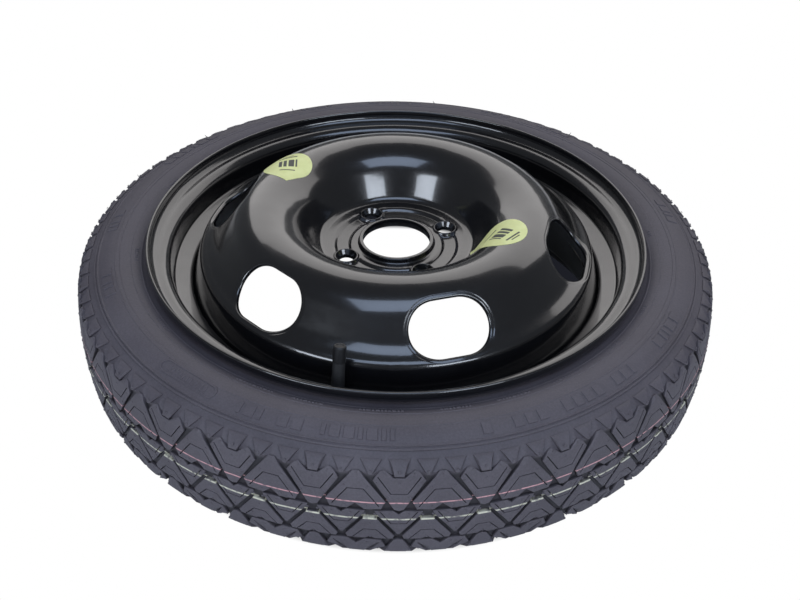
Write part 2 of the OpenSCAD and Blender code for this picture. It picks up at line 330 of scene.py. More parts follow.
def rubber(name, dark, light, rough=(0.5, 0.75), lines=False):
    """Grained rubber or plastic between two colours; with lines it is the tyre's, with painted
    shade in its grooves and printed lines round its tread.
    """
    material, tree, shader = node_material(name)
    coords = tree.coords()
    broad = tree.noise(14, 3, 0.6, coords)
    fine = tree.noise(600, 4, 0.7, coords)
    colour = tree.ramp(broad, [(0.3, dark), (0.72, light)])
    grain = tree.ramp(fine, [(0.25, (0.75, 0.75, 0.75)), (0.75, (1.15, 1.15, 1.15))])
    colour = tree.mix(1.0, colour, grain, "MULTIPLY")
    # Painted shade in the tread's cuts and grooves, then the printed lines round the tread
    if lines:
        colour = groove_shade(tree, coords, colour)
        colour = tread_lines(tree, coords, colour)
    tree.link(colour, shader.inputs["Base Color"])
    tree.link(tree.map_range(broad, 0, 1, *rough), shader.inputs["Roughness"])
    tree.link(tree.bump(fine, 0.25, 0.0002), shader.inputs["Normal"])
    return material


def ring_coords(tree, coords):
    """Distance from the wheel's axis and height, both in metres."""
    split = tree.add("SeparateXYZ", Vector=coords)
    squares = [tree.math("POWER", split.outputs[axis], 2.0) for axis in ("X", "Y")]
    return tree.math("SQRT", tree.math("ADD", *squares)), split.outputs["Z"]


# Depths where a groove starts to darken and is darkest, heights off the mid plane between
# which this fades out, and its most
SHADE_DEPTHS = (0.8 * MM, 2.1 * MM)
SHADE_EDGE = (39 * MM, 36 * MM)
SHADE_MOST = 0.62


def groove_shade(tree, coords, colour):
    """Darker rubber in the cuts and grooves of the tread."""
    radius, height = ring_coords(tree, coords)
    across = tree.math("SUBTRACT", height, MID * MM)
    arc_r = TREAD_ARC * MM
    sag = tree.math("SUBTRACT", arc_r, tree.math("SQRT", tree.math(
        "SUBTRACT", arc_r ** 2, tree.math("POWER", across, 2.0))))
    depth = tree.math("SUBTRACT", tree.math("SUBTRACT", TYRE_R * MM, sag), radius)
    deep = tree.map_range(depth, *SHADE_DEPTHS)
    on_tread = tree.map_range(tree.math("ABSOLUTE", across), *SHADE_EDGE)
    shade = tree.math("MULTIPLY", tree.math("MULTIPLY", deep, on_tread), SHADE_MOST)
    return tree.mix(shade, colour, (0.004, 0.004, 0.005))


# Lines round the tread: (height from the mid plane, half width, colour), their sway, and the
# depth below which rubber has none
LINES = ((15.0, 0.55, (0.62, 0.33, 0.34)), (-1.6, 0.75, (0.62, 0.6, 0.47)))
LINE_SWAY = 1
LINE_DEPTH = 4.5


def tread_lines(tree, coords, colour):
    """Thin coloured lines printed round the tread before it was moulded."""
    radius, level = ring_coords(tree, coords)
    on_tread = tree.math("GREATER_THAN", radius, (TYRE_R - LINE_DEPTH) * MM)
    wander = tree.math("SUBTRACT", tree.noise(60, 2, 0.5, coords), 0.5)
    height = tree.math("ADD", level, tree.math("MULTIPLY", wander, LINE_SWAY * MM))
    worn = tree.map_range(tree.noise(220, 2, 0.6, coords), 0.28, 0.5)
    for place, half, tint in LINES:
        off = tree.math("ABSOLUTE", tree.math("SUBTRACT", height, (place + MID) * MM))
        near = tree.map_range(off, half * 1.2 * MM, half * 0.8 * MM)
        mask = tree.math("MULTIPLY", tree.math("MULTIPLY", near, on_tread), worn)
        colour = tree.mix(mask, colour, tint)
    return colour


PAINT = black_paint()
TYRE_RUBBER = rubber("tyre rubber", (0.078, 0.068, 0.080), (0.106, 0.094, 0.108), lines=True)
VALVE_RUBBER = rubber("valve rubber", (0.012, 0.012, 0.013), (0.02, 0.02, 0.021))


# Profiles

def tyre_outline():
    """Half of the tyre's outside from the middle of the tread to the bead.

    Places are (radius, height from the mid plane).
    """
    section = TYRE_R - SEAT_R
    crown_a = math.degrees(math.asin(TREAD_HALF / TREAD_ARC))
    end = np.array([TYRE_R - TREAD_ARC * (1 - cosd(crown_a)), TREAD_HALF])
    shoulder_c = end - SHOULDER_BEND * np.array([cosd(crown_a), sind(crown_a)])
    shoulder_end = 65
    rad = 0.446 * section
    side_c = (TYRE_R - 0.52 * section, TYRE_W / 2 - rad)
    bead_top = SEAT_R + 19.6
    side_end = math.degrees(math.acos((bead_top - side_c[0]) / rad))
    return np.concatenate([
        arc((TYRE_R - TREAD_ARC, 0), TREAD_ARC, 0, crown_a, 12)[:-1],
        arc(shoulder_c, SHOULDER_BEND, crown_a, shoulder_end, 14),
        arc(side_c, rad, shoulder_end, side_end, 30),
    ])


def rim_curve():
    """The rim's tyre side from lip to lip, as (radius, height from the mid plane, bend)."""
    half = RIM_W / 2
    seat_in = half - SEAT_W
    seat_in_r = SEAT_R - SEAT_W * tand(SEAT_TAPER)
    well_z = seat_in - (seat_in_r - WELL_R) * tand(WELL_LEAN)
    flange_r, flange_bend, heel_bend, seat_bend, well_bend = SEAT_R + FLANGE_H, 9.5, 6.5, 5, 2
    side = [(flange_r, half + FLANGE_W - RIM_T / 2, 0), (flange_r, half, flange_bend),
            (SEAT_R, half, heel_bend), (seat_in_r, seat_in, seat_bend),
            (WELL_R, well_z, well_bend)]
    return side + [(r, -z, b) for r, z, b in reversed(side)]


# Corners of the hub face outside the collar: (radius, height, bend)
HUB_FACE = [(COLLAR_R, RIDGE_H, 2), (41, RIDGE_H, 4.5), (43, DISC_T, 1.5), (53, DISC_T, 1.5),
            (56, SHELF_H, 4.5)]
BOWL_FOOT_BEND = 8
SKIRT_BEND = 6


def disc_curve():
    """The disc's outboard side from collar to skirt, as (radius, height, bend)."""
    foot = np.array([BOLT_CIRCLE_R + SHELF_W, SHELF_H])
    slope = np.array(SLOPE_FOOT[:2])
    centre = np.array([CROWN_R, CROWN_H - CROWN_BEND])

    def touch(p):
        v = np.array([abs(p[0] - centre[0]), p[1] - centre[1]])
        reach = math.degrees(math.acos(CROWN_BEND / np.hypot(*v)))
        return 90 - math.degrees(math.atan2(v[1], v[0])) - reach

    a, b = touch(foot), touch(slope)
    to_apex = np.array([sind((b - a) / 2), cosd((b - a) / 2)])
    apex = centre + CROWN_BEND / cosd((a + b) / 2) * to_apex
    return [(COLLAR_R, COLLAR_H - 0.7, 0), *HUB_FACE, (*foot, BOWL_FOOT_BEND),
            (*apex, CROWN_BEND), SLOPE_FOOT, CORNER, (SKIRT_R, SKIRT_TOP, SKIRT_BEND),
            (SKIRT_R, SKIRT_END, 0)]


# Rim

# Steps round the rim and the disc
COLUMNS = 288


def make_rim():
    points, normals = thin_out(*path_curve(rim_curve()), 5.0, 9.0)
    inner = points - RIM_T * normals
    half = RIM_T / 2
    ends = []
    for k, sign in ((0, -1), (-1, 1)):
        mid = points[k] - half * normals[k]
        out = sign * np.array([normals[k][1], -normals[k][0]])
        ends.append([mid + half * (cosd(t) * normals[k] + sind(t) * out)
                     for t in range(30, 180, 30)])
    loop = np.concatenate([points, ends[1], inner[::-1], ends[0][::-1]])
    loop[:, 1] += MID
    lathe(loop, COLUMNS).make("rim_sheet", "wheel", "black_paint", PAINT, 40, ["rim"])


# Disc

class Patch:
    """A block of grid cells that is left out, so that rings round a hole can fill it."""

    def __init__(self, low, high, first, last, count):
        self.rows = (low, high)
        self.columns = (first, last)
        self.count = count

    def holds(self, i, j):
        j0, j1 = self.columns
        return self.rows[0] <= i < self.rows[1] and (j - j0) % self.count < j1 - j0

    def border(self):
        (i0, i1), (j0, j1) = self.rows, self.columns
        loop = [(i0, j) for j in range(j0, j1)] + [(i, j1) for i in range(i0, i1)]
        loop += [(i1, j) for j in range(j1, j0, -1)] + [(i, j0) for i in range(i1, i0, -1)]
        return [(i, j % self.count) for i, j in loop]


def stadium(direction, half_width, half_straight):
    """Distance from the centre to the edge of a slot in the plane directions (across, along)."""
    c, s = abs(direction[..., 0]), abs(direction[..., 1])
    flat = half_width / np.maximum(c, 1e-9)
    rounded = half_straight * s + np.sqrt(np.maximum(half_width ** 2 - (half_straight * c) ** 2, 0))
    return np.where(flat * s <= half_straight, flat, rounded)


# The back of the sheet starts outside the collar's root
BACK_R = COLLAR_R + 3
FINE_PATH, FINE_NORMALS = path_curve(disc_curve(), 1.0, 0.5)
OUTSIDE = FINE_PATH[:, 0] > BACK_R
FRONT = FINE_PATH[OUTSIDE]
BACK = (FINE_PATH - DISC_T * FINE_NORMALS)[OUTSIDE]


def height_on(skin, r):
    return np.interp(r, skin[:, 0], skin[:, 1])


def smooth_max(a, b, k):
    """The larger value, with a round of width k where both are near."""
    return np.maximum(a, b) + np.maximum(0, k - np.abs(a - b)) ** 2 / (4 * k)


SEARCH = 60.0
HALVINGS = 30


class Hole:
    """A hole's own axes: across, along and out, from its centre."""

    def __init__(self, angle, rad, height, lean):
        c, s = cosd(angle), sind(angle)
        radial, self.along = np.array([c, s, 0]), np.array([-s, c, 0])
        self.centre = rad * radial + np.array([0, 0, height])
        self.across = cosd(lean) * radial - np.array([0, 0, sind(lean)])
        self.out = sind(lean) * radial + np.array([0, 0, cosd(lean)])

    def flat(self, xyz):
        v = xyz - self.centre
        return np.stack([v @ self.across, v @ self.along], 1)

    def place(self, q, lift):
        flat = q[:, :1] * self.across + q[:, 1:] * self.along
        return self.centre + flat + np.reshape(lift, (-1, 1)) * self.out

    def lift_to(self, q, skin):
        """How far along the axis a skin of the disc lies at each place."""
        low, high = np.full(len(q), -SEARCH), np.full(len(q), SEARCH)
        for _ in range(HALVINGS):
            lift = (low + high) / 2
            p = self.place(q, lift)
            above = p[:, 2] > height_on(skin, np.hypot(p[:, 0], p[:, 1]))
            low, high = np.where(above, low, lift), np.where(above, lift, high)
        return lift


def rings_to(shape, hole, start_ids, steps):
    """Rings of points from a border inwards; each step has a ring's places and its lift."""
    ids = [start_ids] + [shape.add(hole.place(q, lift)) for q, lift in steps]
    shape.grid(ids)
    return ids[-1]


# Rings from the grid to a vent's flat rim, whose edge lies this far outside the vent
VENT_RINGS = 10
VENT_FLAT = 4.4
# Rings of a vent's rim: (distance outside the edge, drop), on the front and on the back
VENT_ROUND = 2.2
VENT_FRONT = [(4.0, 0.05), (3.7, 0.28), (3.2, 0.32), (2.4, 0.34)]
VENT_FRONT += [(VENT_ROUND * (1 - sind(a)), 0.34 + VENT_ROUND * (1 - cosd(a)))
               for a in range(15, 91, 15)]
VENT_BACK = [(2.0, 0), (0.8, 0.0), (0.2, 0.25), (0, 0.7)]


def vent_patch(shape, k, front_border, back_border):
    hole = Hole(k * 360 / VENTS, VENT_R, VENT_Z, VENT_LEAN)
    straight = (VENT_L - VENT_W) / 2

    def edge(q, offset):
        d = q / np.hypot(q[:, 0], q[:, 1])[:, None]
        return d * stadium(d, VENT_W / 2 + offset, straight)[:, None]

    def side(border, skin, sign, rim):
        ids, xyz = border
        q = hole.flat(xyz)
        near = edge(q, VENT_FLAT)
        steps = [q + t * (near - q) for t in np.linspace(0, 1, VENT_RINGS + 1)[1:]]
        steps = [(p, hole.lift_to(p, skin)) for p in steps]
        for offset, drop in rim:
            p = edge(q, offset)
            steps.append((p, hole.lift_to(p, skin) - sign * drop))
        return rings_to(shape, hole, ids, steps)

    outer = side(front_border, FRONT, 1, VENT_FRONT)
    inner = side(back_border, BACK, -1, VENT_BACK)
    shape.skin(outer, inner)


# Rings of a bolt seat: (radius, height), where None is on the sheet or the seat's outer cone
BOLT_FRONT = [(rad, None) for rad in (14.6, 13.9, 13.3, 12.7, 12.2, 11.8, 11.4, 11.0, 10.7)]
BOLT_FRONT += [(10.45, 7.36), (10.2, 7.53), (9.9, BOLT_SEAT_H), (9.55, BOLT_SEAT_H), (9.42, 7.5),
               (9.3, 7.3), (8.4, 5.7), (7.4, 3.97), (6.9, 3.1), (6.78, 2.8), (BOLT_R, 2.5),
               (BOLT_R, 0.5)]
BOLT_BACK = [(11, None), (8, None), (7.1, 0), (6.85, 0.1), (BOLT_R, 0.35)]
# The outer cone: its foot's radius and height, its slope, and the round to the sheet
CONE_FOOT_R = 14
CONE_FOOT_H = 1
CONE_SLOPE = 6.6 / 3.8
CONE_ROUND = 1.6


def bolt_patch(shape, k, front_border, back_border):
    hole = Hole(BOLT_ANGLE + k * 360 / BOLTS, BOLT_CIRCLE_R, 0, 0)

    def side(border, skin, rings):
        ids, xyz = border
        q = hole.flat(xyz)
        d = q / np.hypot(q[:, 0], q[:, 1])[:, None]
        near = d * rings[0][0]
        places = [(q + t * (near - q), None) for t in (0.3, 0.6, 0.85)]
        places += [(d * rad, h) for rad, h in rings]
        steps = []
        for p, h in places:
            at = hole.place(p, 0)
            base = height_on(skin, np.hypot(at[:, 0], at[:, 1]))
            if h is None and skin is FRONT:
                cone = CONE_FOOT_H + (CONE_FOOT_R - np.hypot(p[:, 0], p[:, 1])) * CONE_SLOPE
                base = smooth_max(base, cone, CONE_ROUND)
            steps.append((p, base if h is None else np.full(len(p), h)))
        return rings_to(shape, hole, ids, steps)

    outer = side(front_border, FRONT, BOLT_FRONT)
    inner = side(back_border, BACK, BOLT_BACK)
    shape.skin(outer, inner)


# Grid cells left out for a hole: radii of the last rows kept, half width in columns
VENT_PATCH = (126.5, 175.0, 14)
BOLT_PATCH = (36.8, 66.0, 15)


def make_disc():
    path, normals = thin_out(FINE_PATH, FINE_NORMALS, 3.4, 6.0)
    outside = path[:, 0] > BACK_R
    root = 3
    collar = np.concatenate([
        arc((BORE_R + root, RIDGE_H - DISC_T + root), root, 270, 180, 6),
        [(BORE_R, COLLAR_H - 0.8), (BORE_R + 0.2, COLLAR_H - 0.25), (BORE_R + 0.7, COLLAR_H),
         (COLLAR_R - 0.8, COLLAR_H), (COLLAR_R - 0.25, COLLAR_H - 0.22)]])
    front = np.concatenate([collar, path])
    back = (path - DISC_T * normals)[outside]
    shape = Shape()
    front_points, back_points = ring_points(front, COLUMNS), ring_points(back, COLUMNS)
    front_rows, back_rows = shape.add(front_points), shape.add(back_points)
    shift = len(front) - len(back)

    def patch(inner, outer, half, middle):
        radii = front[shift:, 0]
        first = shift + np.flatnonzero(radii < inner)[-1]
        last = shift + np.flatnonzero(radii >= outer)[0]
        return Patch(first, last, middle - half, middle + half, COLUMNS)

    patches = [(vent_patch, k, patch(*VENT_PATCH, k * COLUMNS // VENTS)) for k in range(VENTS)]
    for k in range(BOLTS):
        middle = round((BOLT_ANGLE + k * 360 / BOLTS) / 360 * COLUMNS)
        patches.append((bolt_patch, k, patch(*BOLT_PATCH, middle)))
    for i in range(len(front) - 1):
        for j in range(COLUMNS):
            if any(p.holds(i, j) for _, _, p in patches):
                continue
            k = (j + 1) % COLUMNS
            shape.faces.append((front_rows[i][j], front_rows[i][k],
                                front_rows[i + 1][k], front_rows[i + 1][j]))
            if i >= shift:
                b = i - shift
                shape.faces.append((back_rows[b][j], back_rows[b + 1][j],
                                    back_rows[b + 1][k], back_rows[b][k]))
    shape.skin(back_rows[0], front_rows[0])
    shape.skin(front_rows[-1], back_rows[-1])
    for cut, k, left_out in patches:
        i, j = np.array(left_out.border()).T
        cut(shape, k, (front_rows[i, j], front_points[i, j]),
            (back_rows[i - shift, j], back_points[i - shift, j]))
    shape.make("disc_sheet", "wheel", "black_paint", PAINT, 42, ["disc"])


# Tyre

# The tread repeats in sectors; places in it are (round the tread, across the tread)
SECTORS = 14
SECTOR = 2 * math.pi * TYRE_R / SECTORS
TREAD_EDGE = 50.4
TREAD_DROP = 0.35
FIRST_BLOCK = -75.7
LOW_MIRROR = -17.7
# How far the blocks' sides lean, half a sipe's width, and the lowest places of blocks and nubs
BLOCK_LEAN = 0.42
SIPE_HALF = 0.42
BLOCK_END = -48
NUB_END = -46
# Depths: of the grooves from the middle to the edge, of the sipes and of the blocks' feet
GROOVE_AT = [38, 46, TREAD_EDGE]
GROOVE_DEPTH = [3.0, 1.2, 0.8]
SIPE_DEPTH = 1.7
EDGE_DEPTH = 0.3
# Free points of the sector's mesh, and how far they stay from the blocks' lines
GRID_ACROSS = 23
GRID_ROUND = 25
GRID_GAP = 0.8
OUTLINE = tyre_outline()
OUTLINE_TURN = np.gradient(OUTLINE, axis=0)
OUTLINE_NORMALS = np.stack([OUTLINE_TURN[:, 1], -OUTLINE_TURN[:, 0]], 1)
OUTLINE_NORMALS /= np.hypot(*OUTLINE_TURN.T)[:, None]

# Right halves of the blocks, whose names go by their forms
U_BLOCK = [(0, 37.8), (4.2, 37.8), (8.3, 41.8), (11.6, 44), (14.3, 43), (16.5, 40.3),
           (19.3, 35.5), (7.6, 15.9), (3.5, 8.2), (0, 7.1)]
A_BLOCK = [(0, 43), (2.3, 43), (6.2, 37.8), (21, 17.2), (22, 15.8), (19.3, 9.8), (18.9, 8.5),
           (6.3, 7.9), (0, 13.6)]
TIP = [(0, 47.9), (8.3, 47.9), (1.3, 40.4), (0, 40.4)]
SHORT_TIP = [(0, 47.9), (8.2, 47.9), (3.6, 39), (0, 39)]
T_BLOCK = [(0, 3.4), (4, 6.8), (17.7, 6.5), (16.1, 2.9), (0.8, -18.4), (0, -18.4)]
P_BLOCK = [(0, -0.8), (4.2, -0.8), (18.2, -20.8), (17, -24.2), (4, -24.4), (0, -21.8)]
# Outer and inner place of the right half of each block's sipe
SIPES = {
    "U": [(15.7, 38.8), (6.2, 23.8)],
    "A": [(17.2, 11.4), (6, 27.4)],
    "T": [(13.8, 6), (5.6, -6.2)],
    "P": [(13, -23.8), (4.7, -13.5)],
}
# Small raised dots on the blocks, on both sides of the middle
NUBS = {
    "U": [(10.5, 41.2), (0, 33.5), (16.6, 33.5), (8.5, 20.5)],
    "A": [(0, 41.5), (8.6, 30), (7.8, 11.6)],
    "tip": [(0, 42.5)],
    "T": [(7, 4), (17.5, 3.8), (6.6, -7.8), (0, -15)],
    "P": [(0, -6.6), (7, -18.7), (0, -21.5)],
}


def both_sides(half):
    """A whole loop from the right half of one."""
    return np.array(list(half) + [(-x, y) for x, y in reversed(half) if x > 0], float)


def inset(loop, d):
    """The loop with its sides moved inwards."""
    area = np.sum(loop[:, 0] * np.roll(loop[:, 1], -1) - loop[:, 1] * np.roll(loop[:, 0], -1))
    d = math.copysign(d, area)
    u, v = loop - np.roll(loop, 1, 0), np.roll(loop, -1, 0) - loop
    u, v = u / np.hypot(*u.T)[:, None], v / np.hypot(*v.T)[:, None]
    n, m = np.stack([-u[:, 1], u[:, 0]], 1), np.stack([-v[:, 1], v[:, 0]], 1)
    return loop + d * (n + m) / (1 + (n * m).sum(1))[:, None]


def side_pairs(loop):
    return zip(loop, np.roll(loop, -1, 0))


def strip(line, half):
    """A loop round a bent line."""
    line = np.array(line, float)
    t = np.gradient(line, axis=0)
    t[1:-1] = [unit(unit(line[i] - line[i - 1]) + unit(line[i + 1] - line[i]))
               for i in range(1, len(line) - 1)]
    t = t / np.hypot(*t.T)[:, None]
    n = np.stack([-t[:, 1], t[:, 0]], 1) * half
    return np.concatenate([line + n, (line - n)[::-1]])


def clip(loop, axis, limit, keep_above):
    """The part of a loop above or below a limit."""
    sign = 1 if keep_above else -1
    out = []
    for a, b in side_pairs(loop):
        da, db = sign * (a[axis] - limit), sign * (b[axis] - limit)
        if da >= 0:
            out.append(a)
        if da * db < 0:
            out.append(a + (b - a) * da / (da - db))
    return np.array(out)


def within(points, loop):
    """Which points lie inside a loop."""
    inside = np.zeros(len(points), bool)
    x, y = points[:, 0], points[:, 1]
    for a, b in side_pairs(loop):
        if a[1] == b[1]:
            continue
        crosses = (a[1] > y) != (b[1] > y)
        inside ^= crosses & (x < (b[0] - a[0]) * (y - a[1]) / (b[1] - a[1]) + a[0])
    return inside


def tread_layout():
    """Outlines, tops, cuts and nubs of one sector's blocks."""
    half, third, sixth = SECTOR / 2, SECTOR / 3, SECTOR / 6
    placed = [("U", U_BLOCK, k * half, False) for k in range(3)]
    placed += [("A", A_BLOCK, (k + 0.5) * half, False) for k in range(2)]
    placed += [(kind, block, at, True) for kind, block, at, _ in placed]
    placed += [("T", T_BLOCK, k * third, False) for k in range(4)]
    placed += [("P", P_BLOCK, (k + 0.5) * third, False) for k in range(3)]
    placed += [("tip", TIP if k % 3 else SHORT_TIP, k * sixth, False) for k in range(7)]
    outlines, tops, cuts, nubs = [], [], [], []
    for kind, block, at, low in placed:
        def put(loop):
            loop = np.array(loop, float)
            if low:
                loop[:, 1] = LOW_MIRROR - loop[:, 1]
            loop[:, 0] += at
            for axis, limit, above in ((0, 0, True), (0, SECTOR, False), (1, BLOCK_END, True)):
                loop = clip(loop, axis, limit, above)
                if len(loop) < 3:
                    return []
            return [loop]

        full = both_sides(block)
        outlines += put(full)
        tops += put(inset(full, BLOCK_LEAN))
        if kind in SIPES:
            a, b = SIPES[kind]
            cuts += put(strip([a, b, (-b[0], b[1]), (-a[0], a[1])], SIPE_HALF))
        for x, y in NUBS[kind]:
            for side in ((1, -1) if x else (1,)):
                u, v = at + side * x, LOW_MIRROR - y if low else y
                if 0 <= u < SECTOR and v > NUB_END:
                    nubs.append((u, v))
    return outlines, tops, cuts, nubs


def near_lines(points, loops, gap):
    """Which points lie near the sides of the loops."""
    near = np.zeros(len(points), bool)
    for loop in loops:
        for a, b in side_pairs(loop):
            v = b - a
            t = np.clip(((points - a) @ v) / max(v @ v, 1e-9), 0, 1)
            near |= np.hypot(*(points - a - t[:, None] * v).T) < gap
    return near


def on_tyre(u, z, lift):
    """Points above the outline of the tyre; u is the distance round the tread."""
    side = np.abs(z)
    r = np.interp(side, OUTLINE[:, 1], OUTLINE[:, 0])
    nr = np.interp(side, OUTLINE[:, 1], OUTLINE_NORMALS[:, 0])
    nz = np.interp(side, OUTLINE[:, 1], OUTLINE_NORMALS[:, 1]) * np.sign(z)
    a = math.radians(FIRST_BLOCK) + u / TYRE_R
    r = r + lift * nr
    return np.stack([r * np.cos(a), r * np.sin(a), MID + z + lift * nz], -1)


def tread_sector():
    """Corners (u, z, lift), faces and nubs of one sector."""
    outlines, tops, cuts, nubs = tread_layout()
    loops = outlines + tops + cuts
    grid = np.array([(u, z) for u in np.linspace(0, SECTOR, GRID_ROUND)
                     for z in np.linspace(-TREAD_EDGE, TREAD_EDGE, GRID_ACROSS)])
    on_edge = abs(grid[:, 1]) == TREAD_EDGE
    grid = grid[on_edge | ~near_lines(grid, loops, GRID_GAP)]
    points, faces = [tuple(p) for p in grid], []
    for loop in loops:
        faces.append(list(range(len(points), len(points) + len(loop))))
        points += [tuple(p) for p in loop]
    all_faces, merge = 0, 1e-4
    flat, _, triangles, *_ = delaunay_2d_cdt(
        [Vector(p) for p in points], [], faces, all_faces, merge)
    flat, triangles = np.array([tuple(v) for v in flat]), np.array([tuple(t) for t in triangles])
    middle = flat[triangles].mean(1)

    def inside(loops):
        hit = np.zeros(len(middle), bool)
        for loop in loops:
            hit |= within(middle, loop)
        return hit

    # Levels: 0 groove, 1 block, 2 sipe
    block, top, cut = inside(outlines), inside(tops), inside(cuts)
    level = np.where(block, np.where(cut, 2, 1), 0)
    on_top = np.zeros(len(flat), bool)
    on_top[np.unique(triangles[top & ~cut])] = True
    depth = np.interp(abs(flat[:, 1]), GROOVE_AT, GROOVE_DEPTH)
    lifts = np.stack([-depth, np.where(on_top, 0, -EDGE_DEPTH), np.full(len(flat), -SIPE_DEPTH)])
    lifts -= TREAD_DROP
    keys, corners, out = {}, [], []

    def corner(v, lev):
        if (v, lev) not in keys:
            keys[v, lev] = len(corners)
            corners.append((flat[v][0], flat[v][1], lifts[lev][v]))
        return keys[v, lev]

    sides = {}
    for (a, b, c), lev in zip(triangles.tolist(), level.tolist()):
        out.append((corner(a, lev), corner(b, lev), corner(c, lev)))
        for e in ((a, b), (b, c), (c, a)):
            sides[e] = lev
    for (a, b), lev in sides.items():
        other = sides.get((b, a), lev)
        if other != lev and lev == 1:
            out.append((corner(b, lev), corner(a, lev), corner(a, other), corner(b, other)))
    return np.array(corners), out, nubs


# Rings of a nub: (radius, height above the block)
NUB_RINGS = ((1.0, -0.1), (0.82, 0.24), (0.62, TREAD_DROP))


def add_nub(shape, u, z):
    a = np.arange(8) * math.pi / 4
    rows = [shape.add(on_tyre(u + rad * np.cos(a), z + rad * np.sin(a),
                              np.full(len(a), h - TREAD_DROP))) for rad, h in NUB_RINGS]
    shape.grid(rows)
    shape.faces.append(tuple(rows[-1]))


SIDE_S = np.concatenate([[0], np.cumsum(np.hypot(*np.diff(OUTLINE, axis=0).T))])
EDGE_S = float(np.interp(TREAD_EDGE, OUTLINE[:, 1], SIDE_S))
# Steps of the sidewall: distance from the tread's edge and height above the outline.
# The first lies in the edge of the tread.
SIDE_STEPS = [(0, -2.5), (0, 0.0), (0.5, 0.4), (1.6, 0.4), (2.0, -0.3), (2.7, -0.3), (3.0, 0.6),
              (3.9, 0.6), (4.4, 0), (19.4, 0), (19.7, 0.3), (20.5, 0.3), (20.8, 0), (23.5, 0),
              (23.8, -0.35), (33.2, -0.35), (33.5, 0), (41.8, 0), (42.1, 0.3), (43.0, 0.3),
              (43.4, 0)]
BEAD_TOP_H = 13.2
HEEL_BEND = 6.5
SEAT_GAP = 0.05
TOE_W = 18
# The tyre's inside from the bead to the middle: (radius, height from the mid plane)
INNER = [(SEAT_R + 3, 30.8), (SEAT_R + 9, 32.8), (224, 46), (240, 50.5), (258, 46), (268, 36),
         (272, 20), (273, 0)]


def side_point(s, lift):
    """Places (radius, height from the mid plane) at a distance from the tread's edge."""
    s = np.asarray(s, float) + EDGE_S
    r, z, nr, nz = (np.interp(s, SIDE_S, known[:, k])
                    for known in (OUTLINE, OUTLINE_NORMALS) for k in (0, 1))
    return np.stack([r + lift * nr, z + lift * nz], -1)


def sidewall_curve():
    """The tyre's section from the tread's edge round the bead to the middle of the inside."""
    end = SIDE_S[-1] - EDGE_S
    known_s, known_h = np.array(SIDE_STEPS).T
    s = np.unique(np.concatenate([known_s[known_s < end], np.arange(1, end, 1.8), [end]]))
    lift = np.interp(s, known_s[1:], known_h[1:])
    wall = np.concatenate([side_point([0], known_h[0]), side_point(s, lift)])
    seat_r, seat_z = SEAT_R + SEAT_GAP, RIM_W / 2 - SEAT_GAP
    heel, _ = path_curve([(SEAT_R + BEAD_TOP_H, seat_z, 0), (seat_r, seat_z, HEEL_BEND),
                          (seat_r - TOE_W * tand(SEAT_TAPER), RIM_W / 2 - TOE_W, 0)], 6, 4)
    return np.concatenate([wall, heel, INNER])


def side_places(s, degrees, lift):
    """Points on the outboard sidewall, at distances from the tread's edge and at angles."""
    p, a = side_point(s, lift), np.radians(degrees)
    return np.stack([p[:, 0] * np.cos(a), p[:, 0] * np.sin(a), MID + p[:, 1]], 1)


# Raised marks start this far under the wall, and their sides lean by this much
MARK_FOOT = -0.3
MARK_LEAN = 0.4


def raised_bar(shape, s0, s1, middle, width, height):
    """A plain raised bar on the outboard sidewall, in place of a printed mark."""
    centre = (s0 + s1) / 2
    rad = float(side_point([centre], 0)[0][0])
    count = max(1, round(width / 4))
    ids = []
    for s, edge, h in ((s0 - MARK_LEAN, MARK_LEAN, MARK_FOOT), (s0, 0, height),
                       (centre, 0, height), (s1, 0, height),
                       (s1 + MARK_LEAN, MARK_LEAN, MARK_FOOT)):
        half = width / 2 + edge
        across = np.linspace(-half, half, count + 1)
        across = np.concatenate([[-half - MARK_LEAN], across, [half + MARK_LEAN]])
        lift = np.full(len(across), h)
        lift[[0, -1]] = MARK_FOOT
        turn = middle + np.degrees(across / rad)
        ids.append(shape.add(side_places(np.full(len(across), s), turn, lift)))
    shape.grid(ids, closed=False)


def raised_frame(shape, s0, s1, first, last, half, height):
    """A raised rounded frame on the outboard sidewall."""
    centre = (s0 + s1) / 2
    rad = float(side_point([centre], 0)[0][0])
    end = (s1 - s0) / 2
    straight = math.radians(last - first) * rad / 2 - end
    middle = (first + last) / 2
    turn = np.radians(np.arange(0, 360, 12) + 6)
    lean = 0.3
    ids = []
    for offset, h in ((-half - lean, MARK_FOOT), (-half, height), (half, height),
                      (half + lean, MARK_FOOT)):
        u = np.sign(np.cos(turn)) * straight + (end + offset) * np.cos(turn)
        s = centre + (end + offset) * np.sin(turn)
        ids.append(shape.add(side_places(s, middle + np.degrees(u / rad), np.full(len(u), h))))
    shape.grid(ids)


def unit3(v):
    return v / np.linalg.norm(v)


def add_hair(shape, s, degrees, length, lean):
    """A thin rubber hair left by the mould's vents."""
    foot, tip = side_places([s, s], [degrees, degrees + lean], np.array([MARK_FOOT, length]))
    along = unit3(tip - foot)
    any_way = [0.3, 0.2, 0.9]
    across = unit3(np.cross(along, any_way))
    other = np.cross(along, across)
    a = np.arange(6) * math.pi / 3
    rows = []
    for share, rad in ((0, 0.45), (0.5, 0.32), (1, 0.16)):
        bow = foot + share * (tip - foot) + other * 0.12 * length * math.sin(share * math.pi)
        ring = np.cos(a)[:, None] * across + np.sin(a)[:, None] * other
        rows.append(shape.add(bow + rad * ring))
    shape.grid(rows)
    shape.faces.append(tuple(rows[-1]))


WALL_COLUMNS = 336
# Radii at which the gaps between the large and the small marks are measured
PRINT_R = 262
SMALL_R = 236


def marks(s0, s1, groups, gap, rad):
    """Bars from s0 to s1 off the tread's edge, in groups (first angle, widths)."""
    found = []
    for start, widths in groups:
        at = 0.0
        for width in widths:
            found.append((s0, s1, start + math.degrees((at + width / 2) / rad), width))
            at += width + gap
    return found


